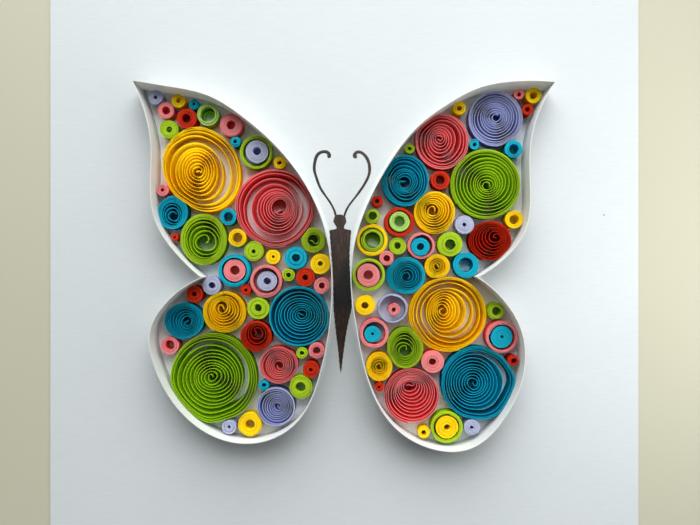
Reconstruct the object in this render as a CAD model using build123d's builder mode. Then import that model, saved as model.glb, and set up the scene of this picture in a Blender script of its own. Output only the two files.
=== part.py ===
from build123d import *
from dataclasses import dataclass
from math import atan2, degrees, hypot
import os

# A butterfly of quilled paper strips on a sheet of white card, seen from above.
# The origin lies on the underside of the card, at its centre. X runs to the
# right wing, Y runs from the tail to the head and Z up out of the card.
# All sizes are millimetres.

# Card
card_width = 210.0
card_height = 297.0
card_thickness = 0.3

# Paper strips: what stands on the card
rim_height = 10.0
rim_thickness = 0.25
strip_height = 5.0
strip_thickness = 0.2

# Winding of the loose coils
eye_radius = 0.7
outer_turns = 2

# Dried paint of the body and the antennae
paint_thickness = 0.1
antenna_root = 0.5
antenna_end = 1.1
antenna_knob = 0.8


@dataclass
class Roll:
    """A tight roll: its place on the card, its radius and the radius of its hole."""

    x: float
    y: float
    radius: float
    hole: float


@dataclass
class Coil:
    """A loose coil, wound counterclockwise from its eye.

    The inner turns lie evenly about the eye out to `rose`, and the swinging turns
    then open out to the outer turns, which lie on each other. `radius` is taken along
    the line from the middle to the eye, and `across` is what an oval coil's other
    radius is to it.
    """

    x: float
    y: float
    radius: float
    eye_x: float
    eye_y: float
    rose: float
    rose_turns: int
    swing_turns: int
    across: float = 1.0


left_fore_coils = {
    "left_fore_large_yellow_coil": Coil(-49.6, 32.6, 12.9, -50.6, 31.6, 7.6, 4, 2, 1.14),
    "left_fore_large_pink_coil": Coil(-24.45, 19.2, 13.2, -22.4, 18.4, 7.4, 4, 2),
    "left_fore_turquoise_coil": Coil(-59.6, 17.1, 5.5, -59.4, 16.5, 3.4, 2, 1, 0.9),
    "left_fore_green_coil": Coil(-48.7, 7.9, 8.9, -48.5, 7.4, 3.6, 2, 2, 0.91),
    "left_fore_loose_green_roll": Coil(-10.7, 7.5, 4.4, -10.5, 7.7, 2.2, 1, 1),
}

left_hind_coils = {
    "left_hind_turquoise_coil": Coil(-55.8, -20.3, 7.0, -54.9, -20.6, 3.4, 2, 2, 0.96),
    "left_hind_yellow_coil": Coil(-41.6, -17.5, 7.3, -42.0, -16.0, 3.4, 2, 2),
    "left_hind_large_turquoise_coil": Coil(-15.85, -18.75, 10.4, -14.8, -18.1, 6.6, 4, 1),
    "left_hind_red_coil": Coil(-30.8, -25.7, 5.65, -30.4, -24.7, 2.6, 2, 1),
    "left_hind_large_green_coil": Coil(-45.0, -40.2, 15.7, -45.8, -39.4, 6.6, 4, 3, 0.92),
    "left_hind_pink_coil": Coil(-22.9, -35.65, 6.8, -22.7, -35.9, 4.9, 3, 1),
    "left_hind_lavender_coil": Coil(-23.9, -50.5, 6.75, -23.1, -49.9, 3.4, 2, 2),
}

right_fore_coils = {
    "right_fore_lavender_coil": Coil(52.5, 50.3, 9.35, 52.5, 51.1, 5.0, 3, 2),
    "right_fore_pink_coil": Coil(34.2, 42.0, 8.95, 33.2, 43.0, 5.0, 3, 2, 1.08),
    "right_fore_turquoise_coil": Coil(21.4, 28.35, 8.7, 20.9, 27.85, 4.6, 3, 2, 0.9),
    "right_fore_large_green_coil": Coil(49.3, 27.0, 12.2, 49.9, 26.8, 7.2, 4, 2),
    "right_fore_yellow_coil": Coil(31.9, 17.2, 7.3, 31.5, 18.2, 4.4, 3, 1),
    "right_fore_red_coil": Coil(50.8, 7.8, 6.75, 52.3, 9.0, 3.2, 2, 2),
    "right_middle_yellow_coil": Coil(32.5, -1.5, 4.35, 32.4, -1.3, 2.6, 2, 1),
    "right_middle_turquoise_coil": Coil(21.7, -4.7, 6.6, 22.1, -4.9, 3.2, 2, 2),
}

right_hind_coils = {
    "right_hind_large_yellow_coil": Coil(36.7, -18.5, 13.0, 35.2, -17.1, 6.8, 4, 2),
    "right_hind_green_coil": Coil(20.7, -30.1, 6.85, 20.5, -30.9, 3.2, 2, 2, 0.88),
    "right_hind_large_turquoise_coil": Coil(46.2, -42.4, 12.3, 44.8, -42.5, 7.2, 4, 2),
    "right_hind_yellow_coil": Coil(12.0, -36.8, 4.35, 12.1, -36.7, 2.6, 2, 1),
    "right_hind_large_pink_coil": Coil(23.8, -46.75, 9.85, 22.4, -43.0, 3.6, 2, 3),
}

left_rolls = {
    "left_lavender_rolls": [
        Roll(-65.9, 57.6, 2.65, 0.6),
        Roll(-46.2, -8.0, 3.15, 1.1),
        Roll(-40.1, -57.4, 2.4, 0.5),
    ],
    "left_pink_rolls": [
        Roll(-62.2, 53.1, 2.95, 1.35),
        Roll(-39.5, 48.0, 4.0, 1.5),
        Roll(-63.4, 25.3, 2.1, 0.6),
        Roll(-7.8, -8.0, 2.85, 1.0),
        Roll(-60.9, -28.9, 3.1, 1.6),
        Roll(-9.6, -30.7, 2.8, 1.25),
    ],
    "left_yellow_rolls": [
        Roll(-57.8, 56.4, 2.45, 0.8),
        Roll(-22.6, 34.9, 2.25, 0.7),
        Roll(-37.3, 8.7, 3.1, 1.7),
        Roll(-24.8, 2.0, 2.65, 0.45),
        Roll(-8.4, -0.4, 3.6, 0.8),
        Roll(-32.9, -56.6, 4.0, 1.6),
    ],
    "left_turquoise_rolls": [
        Roll(-52.3, 55.2, 1.8, 0.45),
        Roll(-38.0, 42.1, 1.9, 0.6),
        Roll(-40.5, 15.9, 2.8, 1.6),
        Roll(-16.9, 1.7, 4.0, 1.3),
        Roll(-28.0, -42.8, 1.8, 0.7),
    ],
    "left_red_rolls": [
        Roll(-55.0, 50.3, 3.6, 1.45),
        Roll(-59.1, 8.7, 1.55, 0.35),
        Roll(-13.6, -5.1, 3.3, 0.95),
        Roll(-52.3, -11.1, 3.0, 0.75),
        Roll(-34.4, -9.6, 1.95, 0.5),
        Roll(-11.65, -37.3, 2.95, 0.6),
    ],
    "left_green_rolls": [
        Roll(-61.1, 46.5, 3.25, 0.95),
        Roll(-31.6, 3.95, 3.4, 0.65),
        Roll(-19.4, -4.3, 2.3, 0.8),
        Roll(-30.0, -15.9, 3.85, 1.2),
        Roll(-14.8, -31.6, 2.1, 0.7),
        Roll(-15.2, -43.5, 4.0, 1.6),
    ],
    "left_pale_green_roll": [
        Roll(-47.6, 51.6, 3.8, 2.5),
    ],
}

right_rolls = {
    "right_yellow_rolls": [
        Roll(40.1, 53.8, 2.35, 0.85),
        Roll(66.0, 58.2, 2.8, 1.2),
        Roll(59.2, 15.0, 3.1, 1.6),
        Roll(7.2, -14.9, 3.7, 1.15),
        Roll(27.8, -59.4, 2.3, 0.8),
    ],
    "right_pink_rolls": [
        Roll(60.9, 58.6, 2.0, 0.65),
        Roll(14.8, 1.45, 2.55, 1.1),
        Roll(30.8, -34.6, 3.95, 1.2),
    ],
    "right_red_rolls": [
        Roll(64.0, 53.4, 2.15, 0.75),
        Roll(33.4, 28.7, 3.35, 1.55),
        Roll(11.5, 21.5, 2.1, 0.7),
        Roll(59.0, -34.2, 2.1, 0.85),
        Roll(12.2, -43.4, 1.85, 0.45),
    ],
    "right_green_rolls": [
        Roll(22.8, 39.8, 1.75, 0.6),
        Roll(9.9, 16.2, 2.65, 1.4),
        Roll(18.6, 5.8, 3.0, 1.05),
        Roll(36.9, 6.3, 4.4, 1.8),
        Roll(53.0, -16.9, 3.0, 1.45),
    ],
    "right_turquoise_rolls": [
        Roll(45.4, 41.2, 1.9, 0.6),
        Roll(59.1, 39.5, 3.2, 1.65),
        Roll(42.5, -0.9, 4.5, 2.4),
    ],
    "right_lavender_rolls": [
        Roll(41.9, 13.2, 3.3, 0.6),
        Roll(44.5, -57.5, 2.7, 0.6),
    ],
}

# Wide rings of wound strip, each with a roll of another colour standing in it
rings = {
    "left_green_ring": [Roll(-30.75, 38.4, 5.75, 4.65)],
    "left_turquoise_ring": [Roll(-38.4, -2.8, 5.75, 4.35)],
    "left_pink_ring": [Roll(-27.3, -6.4, 5.75, 4.45)],
    "right_red_ring": [Roll(19.15, 14.2, 5.25, 3.9)],
    "right_yellow_ring": [Roll(9.7, 7.85, 5.5, 4.25)],
    "right_upper_pink_ring": [Roll(26.8, 5.8, 4.8, 3.75)],
    "right_green_ring": [Roll(8.5, -4.25, 5.7, 4.5)],
    "right_lavender_ring": [Roll(16.9, -16.1, 5.3, 4.5)],
    "right_lower_pink_ring": [Roll(10.5, -24.7, 5.2, 3.85)],
    "right_outer_pink_ring": [Roll(55.0, -26.0, 5.7, 4.4)],
    "right_hind_green_ring": [Roll(35.75, -57.4, 5.7, 4.4)],
}

cores = {
    "left_inner_lavender_rolls": [Roll(-30.4, 38.7, 4.05, 1.3), Roll(-26.95, -6.4, 3.5, 1.2)],
    "left_inner_pink_roll": [Roll(-38.2, -2.75, 3.95, 1.6)],
    "right_inner_pale_green_roll": [Roll(19.25, 14.3, 3.6, 1.8)],
    "right_inner_green_roll": [Roll(9.8, 7.85, 4.0, 2.75)],
    "right_inner_turquoise_rolls": [
        Roll(26.6, 5.6, 3.3, 1.2),
        Roll(9.9, -25.0, 2.9, 0.4),
        Roll(54.9, -25.9, 3.9, 0.5),
    ],
    "right_inner_pink_rolls": [Roll(8.4, -4.45, 4.1, 1.6), Roll(17.3, -16.4, 2.25, 0.7)],
    "right_inner_yellow_roll": [Roll(35.8, -57.5, 4.0, 1.0)],
}

# The rims, along the middle of the strip: the tip, then round by the body to the
# notch at the waist, and the outer edge of the forewing from the tip to the notch
left_tip = (-72.2, 62.0)
left_notch = (-48.5, -5.1)
left_round = [
    (-60.0, 60.0),
    (-47.0, 57.1),
    (-34.5, 49.6),
    (-22.3, 38.7),
    (-12.7, 25.7),
    (-6.7, 11.6),
    (-4.2, -5.0),
    (-4.9, -21.0),
    (-8.5, -39.0),
    (-15.5, -53.8),
    (-27.5, -61.0),
    (-42.5, -60.0),
    (-56.0, -50.4),
    (-64.2, -36.2),
    (-66.1, -23.5),
    (-59.9, -12.9),
]
left_edge = [(-68.3, 52.5), (-65.8, 40.5), (-65.8, 27.0), (-64.2, 14.2), (-57.0, 2.9)]

right_tip = (71.9, 61.5)
right_notch = (45.3, -5.0)
right_round = [
    (60.0, 61.8),
    (46.0, 59.5),
    (35.0, 53.8),
    (25.3, 46.6),
    (16.8, 36.2),
    (9.3, 23.1),
    (3.8, 8.0),
    (2.3, -6.0),
    (4.2, -22.0),
    (8.4, -40.5),
    (16.5, -55.2),
    (29.0, -63.0),
    (42.5, -63.4),
    (54.4, -53.1),
    (60.9, -38.5),
    (60.9, -25.0),
    (54.3, -12.7),
]
right_edge = [(67.0, 53.0), (63.6, 41.0), (63.5, 25.0), (61.5, 10.6), (54.7, 1.6)]

# The brushwork on the card between the rims: the body from its shoulders to the
# tail, the head on its neck, and the antennae from the head outwards
body_left = [(-5.4, 11.7), (-4.7, 3.9), (-3.9, -3.6), (-3.9, -17.1), (-2.6, -28.0), (-1.7, -38.9)]
body_right = [(2.5, 11.6), (1.9, 2.0), (1.9, -6.0), (2.5, -15.5), (0.9, -24.5), (-1.1, -38.9)]
head = [(-2.8, 11.5), (-0.2, 11.5), (0.7, 14.8), (-0.9, 17.0), (-2.6, 16.9), (-3.8, 14.8)]
left_antenna = [(-2.9, 16.4), (-6.3, 23.2), (-10.1, 30.6), (-10.5, 36.1), (-7.6, 39.5), (-5.7, 37.8)]
right_antenna = [(0.0, 16.3), (3.8, 23.2), (7.9, 29.3), (8.9, 34.0), (6.6, 39.0), (4.4, 37.6)]

os.makedirs("parts", exist_ok=True)

# Everything glued down stands on the upper face of the card
card_top = Plane.XY.offset(card_thickness)


def crossings(coil, offset):
    """Where the strip crosses the eye's line, half a turn apart, with the oval there.

    Even places lie beyond the eye, at plus, and odd ones behind it, at minus. About the
    eye the reach grows evenly to `rose`; from there on the centre moves back to the
    middle of the coil, the reach grows to the outer turns and the turns become oval.
    """
    last_reach = coil.radius - outer_turns * strip_thickness / 2
    places = []
    for half in range(2 * (coil.rose_turns + coil.swing_turns) + 1):
        turn = half / 2
        share = max(0, (turn - coil.rose_turns) / coil.swing_turns)
        if share == 0:
            reach = eye_radius + (coil.rose - eye_radius) * turn / coil.rose_turns
        else:
            reach = coil.rose + (last_reach - coil.rose) * share
        side = 1 if half % 2 == 0 else -1
        places.append((offset * (1 - share) + side * reach, 1 + (coil.across - 1) * share))
    return places


def wound_strip(coil, bearing):
    """The strip of a loose coil: half turns that meet squarely on the eye's line."""
    places = crossings(coil, hypot(coil.eye_x - coil.x, coil.eye_y - coil.y))
    eye_line = Vector(1, 0).rotate(Axis.Z, bearing)
    half = strip_thickness / 2
    with BuildLine() as faces:
        for index, ((start, _), (end, oval)) in enumerate(zip(places, places[1:])):
            centre = eye_line * ((start + end) / 2)
            reach = abs(end - start) / 2
            first = bearing + 180 * (index % 2)
            for face in (-half, half):
                if oval == 1:
                    CenterArc(centre, reach + face, first, 180)
                else:
                    EllipticalCenterArc(
                        centre,
                        reach + face,
                        reach * oval + face,
                        start_angle=180 * (index % 2),
                        arc_size=180,
                        rotation=bearing,
                    )
        for place, _ in (places[0], places[-1]):
            Line(eye_line * (place - half), eye_line * (place + half))
    make_face(faces.edges())


def loose_coil(coil):
    """A loose coil: the outer turns as one ring, and the strip that swings in to the eye."""
    bearing = degrees(atan2(coil.eye_y - coil.y, coil.eye_x - coil.x))
    inner = coil.radius - outer_turns * strip_thickness
    with BuildPart() as wound:
        with BuildSketch(Plane((coil.x, coil.y, card_thickness))):
            if coil.across == 1:
                Circle(coil.radius)
                Circle(inner, mode=Mode.SUBTRACT)
            else:
                oval = coil.radius * (coil.across - 1)
                Ellipse(coil.radius, coil.radius + oval, rotation=bearing)
                Ellipse(inner, inner + oval, rotation=bearing, mode=Mode.SUBTRACT)
            wound_strip(coil, bearing)
        extrude(amount=strip_height)
    return wound.part


def tight_rolls(rolls):
    """Tight rolls of one colour: the turns lie on each other round a small hole."""
    with BuildPart() as wound:
        with BuildSketch(card_top):
            for roll in rolls:
                with Locations((roll.x, roll.y)):
                    Circle(roll.radius)
                    Circle(roll.hole, mode=Mode.SUBTRACT)
        extrude(amount=strip_height)
    return wound.part


def wing_rim(tip, round_side, edge, notch):
    """A wing's rim: one strip on edge, with its two folds at the tip and the notch."""
    with BuildPart() as rim:
        with BuildSketch(card_top):
            for side in (round_side, edge):
                with BuildLine():
                    Spline(tip, *side, notch)
                trace(line_width=rim_thickness)
            with Locations(tip, notch):
                Circle(rim_thickness / 2)
        extrude(amount=rim_height)
    return rim.part


def antenna(points):
    """One stroke of the brush, which widens from the head to a knob at its end."""
    with BuildLine() as middle:
        stroke = Spline(*points)
    left = []
    right = []
    stations = len(points)
    for station in range(stations):
        share = station / (stations - 1)
        half = (antenna_root + (antenna_end - antenna_root) * share) / 2
        aside = (stroke % share).rotate(Axis.Z, 90) * half
        left.append((stroke @ share) + aside)
        right.append((stroke @ share) - aside)
    with BuildLine() as sides:
        Spline(*left)
        Spline(*right)
        Line(left[0], right[0])
        Line(left[-1], right[-1])
    make_face(sides.edges())
    with Locations(points[-1]):
        Circle(antenna_knob)


with BuildPart() as backing_card:
    with BuildSketch():
        Rectangle(card_width, card_height)
    extrude(amount=card_thickness)
backing_card.part.label = "backing_card"
export_step(backing_card.part, "parts/backing_card.step")

with BuildPart() as painted_body:
    with BuildSketch(card_top):
        with BuildLine():
            Spline(*body_left)
            Spline(*body_right)
            Line(body_left[0], body_right[0])
            Line(body_left[-1], body_right[-1])
        make_face()
        with BuildLine():
            Spline(*head, periodic=True)
        make_face()
        antenna(left_antenna)
        antenna(right_antenna)
    extrude(amount=paint_thickness)
painted_body.part.label = "painted_body"
export_step(painted_body.part, "parts/painted_body.step")

pieces = {
    "left_rim": wing_rim(left_tip, left_round, left_edge, left_notch),
    "right_rim": wing_rim(right_tip, right_round, right_edge, right_notch),
}
for group in (left_fore_coils, left_hind_coils, right_fore_coils, right_hind_coils):
    for name, coil in group.items():
        pieces[name] = loose_coil(coil)
for group in (left_rolls, right_rolls, rings, cores):
    for name, rolls in group.items():
        pieces[name] = tight_rolls(rolls)
for name, piece in pieces.items():
    piece.label = name
    export_step(piece, f"parts/{name}.step")
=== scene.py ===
from math import pi, radians

import bpy
import numpy as np
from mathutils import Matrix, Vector


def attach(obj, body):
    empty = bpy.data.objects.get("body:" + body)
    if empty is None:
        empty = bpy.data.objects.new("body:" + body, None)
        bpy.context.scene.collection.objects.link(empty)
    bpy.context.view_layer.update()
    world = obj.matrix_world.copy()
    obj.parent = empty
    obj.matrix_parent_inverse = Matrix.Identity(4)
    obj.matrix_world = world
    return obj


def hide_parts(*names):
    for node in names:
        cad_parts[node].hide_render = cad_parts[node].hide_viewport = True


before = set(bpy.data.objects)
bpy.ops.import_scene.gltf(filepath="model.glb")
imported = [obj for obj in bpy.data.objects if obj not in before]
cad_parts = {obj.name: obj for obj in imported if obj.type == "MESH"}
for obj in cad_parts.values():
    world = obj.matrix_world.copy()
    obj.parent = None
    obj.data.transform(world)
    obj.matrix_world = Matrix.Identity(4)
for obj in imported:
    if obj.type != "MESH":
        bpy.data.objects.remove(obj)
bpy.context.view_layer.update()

# A butterfly of quilled paper strips on a sheet of white card. Lengths are written
# in millimetres on the card, as the strips were laid out, and become metres when a
# mesh is made. X runs to the right wing, Y to the head and Z up out of the card.

MM = 0.001
card_top = 0.3
rim_height = 10.0
rim_thickness = 0.25
strip_height = 5.0
strip_thickness = 0.2       # of a turn in a tight roll, with its share of air
tight_thickness = 0.192
loose_thickness = 0.13
tight_pitch = 0.215
edge_trim = 0.08            # how far below its full height a strip's edge lies on average
paint_thickness = 0.1
packed_mark = 500.0         # strip distances from here on, in cm, mean turn on turn


# The camera looks straight down on the card, from about 21 cm above it
camera_data = bpy.data.cameras.new("camera")
camera_data.lens = 30.0
camera_data.sensor_width = 36.0
camera = bpy.data.objects.new("camera", camera_data)
camera.location = (0.0020, 0.0, 0.20863)
bpy.context.scene.collection.objects.link(camera)
bpy.context.scene.camera = camera


# shaders


class Tone:
    """A number in a finish. Arithmetic on it adds Math nodes."""

    def __init__(self, finish, socket):
        self.finish = finish
        self.socket = socket

    def math(self, operation, *values):
        return self.finish.add(
            "ShaderNodeMath", {"operation": operation}, dict(enumerate(values))
        )

    def __add__(self, other):
        return self.math("ADD", self, other)

    def __radd__(self, other):
        return self.math("ADD", other, self)

    def __sub__(self, other):
        return self.math("SUBTRACT", self, other)

    def __rsub__(self, other):
        return self.math("SUBTRACT", other, self)

    def __mul__(self, other):
        return self.math("MULTIPLY", self, other)

    def __rmul__(self, other):
        return self.math("MULTIPLY", other, self)

    def above(self, low, high):
        """0 under `low`, 1 over `high`, and a smooth rise between them."""
        return self.finish.add(
            "ShaderNodeMapRange",
            {"interpolation_type": "SMOOTHSTEP"},
            {"Value": self, "From Min": low, "From Max": high},
        )


class Finish:
    """A material made of nodes, with the few that every paper and paint here uses."""

    def __init__(self, name, specular):
        self.material = bpy.data.materials.new(name)
        self.material.use_nodes = True
        self.tree = self.material.node_tree
        self.shader = self.tree.nodes["Principled BSDF"]
        self.shader.inputs["Specular IOR Level"].default_value = specular

    def add(self, kind, settings=None, sockets=None, output=0):
        """One node: its settings first, then the values or links of its sockets.

        A ramp's setting "stops" is its places from 0 to 1 with their colours.
        """
        node = self.tree.nodes.new(kind)
        for setting, value in (settings or {}).items():
            if setting == "stops":
                elements = node.color_ramp.elements
                for place, _ in value[1:-1]:
                    elements.new(place)
                for element, (_, shade) in zip(elements, value):
                    element.color = shade
            else:
                setattr(node, setting, value)
        for socket, value in (sockets or {}).items():
            if isinstance(value, Tone):
                self.tree.links.new(value.socket, node.inputs[socket])
            else:
                node.inputs[socket].default_value = value
        return Tone(self, node.outputs[output])

    def here(self):
        """The place on the object, in metres from its origin."""
        return self.add("ShaderNodeTexCoord", output="Object")

    def on_strip(self):
        """The place on a strip: distance along it in centimetres, height from 0 to 1."""
        return self.add("ShaderNodeUVMap", {"uv_map": "strip"})

    def vector(self, operation, *values, output=0):
        return self.add(
            "ShaderNodeVectorMath", {"operation": operation}, dict(enumerate(values)), output
        )

    def split(self, vector):
        """The three numbers of a vector."""
        node = self.add("ShaderNodeSeparateXYZ", {}, {0: vector}).socket.node
        return [Tone(self, part) for part in node.outputs]

    def noise(self, scale, detail=2.0, roughness=0.55, where=None):
        """A cloudy value round 0.5, of `scale` lumps a metre on the object or `where`."""
        where = self.add(
            "ShaderNodeMapping", {}, {"Vector": where or self.here(), "Scale": scale}
        )
        return self.add(
            "ShaderNodeTexNoise",
            {},
            {"Vector": where, "Scale": 1.0, "Detail": detail, "Roughness": roughness},
        )

    def blend(self, factor, first, second):
        """Two colours mixed by `factor`."""
        return self.add(
            "ShaderNodeMix", {"data_type": "RGBA"}, {0: factor, 6: first, 7: second}, output=2
        )

    def bump(self, height, depth, strength):
        """A normal from a height of 0 to 1 that stands for `depth` millimetres."""
        return self.add(
            "ShaderNodeBump",
            {},
            {"Height": height, "Distance": depth * MM, "Strength": strength},
        )

    def glow(self, share, tint):
        """Thin paper: this share of the light comes out on the other side, tinted."""
        through = self.add("ShaderNodeBsdfTranslucent", {}, {"Color": tint})
        front = Tone(self, self.shader.outputs["BSDF"])
        both = self.add("ShaderNodeMixShader", {}, {0: share, 1: front, 2: through})
        surface = self.tree.nodes["Material Output"].inputs["Surface"]
        self.tree.links.new(both.socket, surface)

    def finish(self, **sockets):
        for socket, value in sockets.items():
            target = self.shader.inputs[socket.replace("_", " ")]
            self.tree.links.new(value.socket, target)
        return self.material


def colour(red, green, blue):
    """A screen colour of 0 to 255 a channel, made linear."""
    screen = np.array([red, green, blue]) / 255.0
    linear = np.where(screen < 0.04045, screen / 12.92, ((screen + 0.055) / 1.055) ** 2.4)
    return (*linear.tolist(), 1.0)


def strip_paper(hue, face, edge, deep, light):
    """Dyed quilling paper: mottled on its faces, paler on the cut edge, with fibres.

    Light comes through a loose turn, and much less of it where turns lie on each other.
    """
    finish = Finish(f"{hue} quilling paper", 0.1)
    strip = finish.on_strip()
    along, height, _ = finish.split(strip)
    on_others = along.above(packed_mark - 100.0, packed_mark - 99.0)
    cut_edge = height.above(1.005, 1.015)
    mottle = finish.noise((900.0, 900.0, 900.0), 3.0)
    fibres = finish.noise((2.2, 18.0, 1.0), 4.0, 0.65, strip)
    body = finish.blend(
        mottle.above(0.3, 0.7) * 0.55 + fibres * 0.3, colour(*face), colour(*deep)
    )
    paint = finish.blend(cut_edge * (0.75 + mottle * 0.25), body, colour(*edge))
    relief = finish.bump((fibres + mottle * 0.6) * (1.0 - cut_edge * 0.8), 0.02, 0.4)
    share = 0.90 if hue == "yellow" else 0.76
    finish.glow(share * (1.0 - cut_edge) * (1.0 - on_others * 0.8), colour(*light))
    return finish.finish(Base_Color=paint, Roughness=0.62 + mottle * 0.22, Normal=relief)


# Each paper's tones: its face, its cut edge, the deeper mottling and the light that
# comes through it
papers = {
    hue: strip_paper(hue, *tones)
    for hue, tones in {
        "yellow": [(255, 218, 10), (244, 203, 16), (255, 204, 4), (255, 238, 90)],
        "pink": [(240, 102, 104), (222, 134, 134), (232, 78, 82), (248, 156, 158)],
        "turquoise": [(8, 162, 190), (18, 164, 186), (4, 144, 174), (50, 200, 222)],
        "green": [(156, 196, 20), (162, 190, 36), (138, 182, 12), (204, 232, 70)],
        "red": [(192, 26, 8), (194, 46, 16), (168, 16, 4), (216, 66, 36)],
        "lavender": [(172, 180, 222), (172, 175, 192), (158, 166, 214), (204, 210, 240)],
        "pale green": [(168, 214, 92), (168, 204, 104), (150, 200, 76), (208, 236, 130)],
    }.items()
}
# Painted reflected light: the colour painted on the card under each loose coil, for the light its
# turns reflect between them
painted_bounce = {
    "yellow": colour(236, 184, 20),
    "pink": colour(196, 84, 86),
    "turquoise": colour(40, 130, 152),
    "green": colour(112, 152, 28),
    "red": colour(150, 30, 16),
    "lavender": colour(140, 148, 196),
}


def hue_of(node):
    """The colour in a node's name, which is its paper's."""
    return next(hue for hue in painted_bounce if hue in node)


def rim_finish():
    """White drawing paper: faint cloudiness, fibres and a brighter cut edge."""
    finish = Finish("white rim paper", 0.25)
    _, height, _ = finish.split(finish.on_strip())
    cloud = finish.noise((120.0, 120.0, 120.0), 3.0)
    fibres = finish.noise((1800.0, 1800.0, 1800.0), 4.0)
    patches = finish.noise((500.0, 500.0, 200.0), 3.0).above(0.55, 0.7)
    scuffed = height.above(0.9, 1.0) * patches
    body = finish.blend(cloud, colour(204, 207, 206), colour(214, 216, 214))
    worn = finish.blend(scuffed * 0.5, body, colour(212, 212, 204))
    paint = finish.blend(height.above(1.005, 1.015), worn, colour(214, 214, 210))
    finish.glow(0.22, colour(252, 251, 246))
    return finish.finish(
        Base_Color=paint, Roughness=0.6 + cloud * 0.2, Normal=finish.bump(fibres, 0.02, 0.5)
    )


# The mask for the painted light: where the card inside a wing is painted whiter.
def wing_floor(finish, side, middle):
    """1 on the card inside a rim and 0 outside it.

    Around a point inside the rim, the rim's distance is a ramp over the bearing, and
    the floor is where the place is nearer to that point than the rim.
    """
    most_stops = 32
    longest = 100.0     # millimetres that a ramp's value of 1 stands for
    rim = np.concatenate(rim_lines[side]) - middle
    bearing = np.arctan2(rim[:, 1], rim[:, 0])
    stops = np.linspace(0.0, 1.0, most_stops)
    far = np.interp(2 * pi * stops - pi, bearing, np.hypot(*rim.T), period=2 * pi) / longest
    x, y = middle
    offset = finish.vector("SUBTRACT", finish.here(), (x * MM, y * MM, card_top * MM))
    across, along, _ = finish.split(offset)
    ramp = finish.add(
        "ShaderNodeValToRGB",
        {"stops": [(stop, (reach, reach, reach, 1.0)) for stop, reach in zip(stops, far)]},
        {0: across.math("ARCTAN2", along, across) * (0.5 / pi) + 0.5},
    )
    away = finish.vector("LENGTH", offset, output=1)
    return (ramp * longest - away * 1000.0).above(-2.0, 1.0)


def inside_turn(finish, row):
    """1 on the card inside one turn of a loose coil and 0 outside it.

    With the offset from the oval's middle taken through the inverse of its matrix,
    the place lies inside where the length is below 1.
    """
    (x, y), shape = oval_of(row)
    offset = finish.vector("SUBTRACT", finish.here(), (x * MM, y * MM, 0.0))
    first, second = (
        finish.vector("DOT_PRODUCT", offset, (*across, 0.0), output=1)
        for across in np.linalg.inv(shape * MM)
    )
    return 1.0 - (first * first + second * second).above(0.90, 1.0)


def under_coil(finish, node):
    """1 on the card under a coil's close turns, and 0 outside it and in its wide gap.

    A wide gap is a crescent: the inside of the turn round it, less that of the next.
    """
    wide_gap = 2.5
    rows = loose[node]
    steps = np.abs(np.diff(rows[:, 1:5], axis=0)).max(axis=1) / np.diff(rows[:, 0])
    widest = int(np.argmax(steps))
    covered = inside_turn(finish, rows[-1])
    if steps[widest] > wide_gap:
        covered = covered - inside_turn(finish, rows[widest + 1])
        covered = covered + inside_turn(finish, rows[widest])
    return covered


def card_finish():
    """White card with a fine laid grain across it, faint clouds and a few dark flecks.

    Inside the wings it is painted whiter, painted light that fills the wells between the strips,
    and under each loose coil it takes part of its turns' colour, painted reflected light.
    """
    # How much of the painted reflected colour the card under each loose coil takes.
    painted_bounce_share = 0.62
    finish = Finish("white card", 0.25)
    laid = finish.noise((160.0, 2400.0, 160.0), 3.0, 0.6)
    tooth = finish.noise((1600.0, 1600.0, 1600.0), 3.0)
    cloud = finish.noise((16.0, 22.0, 16.0), 3.0)
    spots = finish.add(
        "ShaderNodeMapping", {}, {"Vector": finish.here(), "Scale": (62.0, 62.0, 62.0)}
    )
    cells = finish.add(
        "ShaderNodeTexVoronoi", {"feature": "F1"}, {"Vector": spots, "Scale": 1.0}
    )
    sparse = finish.noise((95.0, 95.0, 95.0), 1.0).above(0.56, 0.62)
    flecks = (1.0 - cells.above(0.016, 0.03)) * sparse
    body = finish.blend(
        cloud * 0.7 + laid * 0.3, colour(190, 195, 196), colour(201, 205, 205)
    )
    grained = finish.blend(laid.above(0.35, 0.7) * 0.22, body, colour(172, 178, 180))
    # Painted light: the card inside each wing is made whiter, standing in for light in the wells
    # between the strips.
    painted_light_inside_wings = wing_floor(finish, "left", (-30.0, -2.0)) + wing_floor(finish, "right", (28.0, -2.0))
    card_with_painted_light = finish.blend(painted_light_inside_wings, grained, colour(236, 239, 239))
    # Painted reflected light: the card under each loose coil takes part of its paper's colour.
    for node in loose:
        painted_bounce_mask = under_coil(finish, node) * painted_bounce_share
        card_with_painted_light = finish.blend(painted_bounce_mask, card_with_painted_light, painted_bounce[hue_of(node)])
    paint = finish.blend(flecks * 0.7, card_with_painted_light, colour(120, 112, 104))
    relief = finish.bump(laid + tooth * 0.5, 0.04, 0.6)
    return finish.finish(Base_Color=paint, Roughness=0.68 + tooth * 0.14, Normal=relief)


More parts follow.
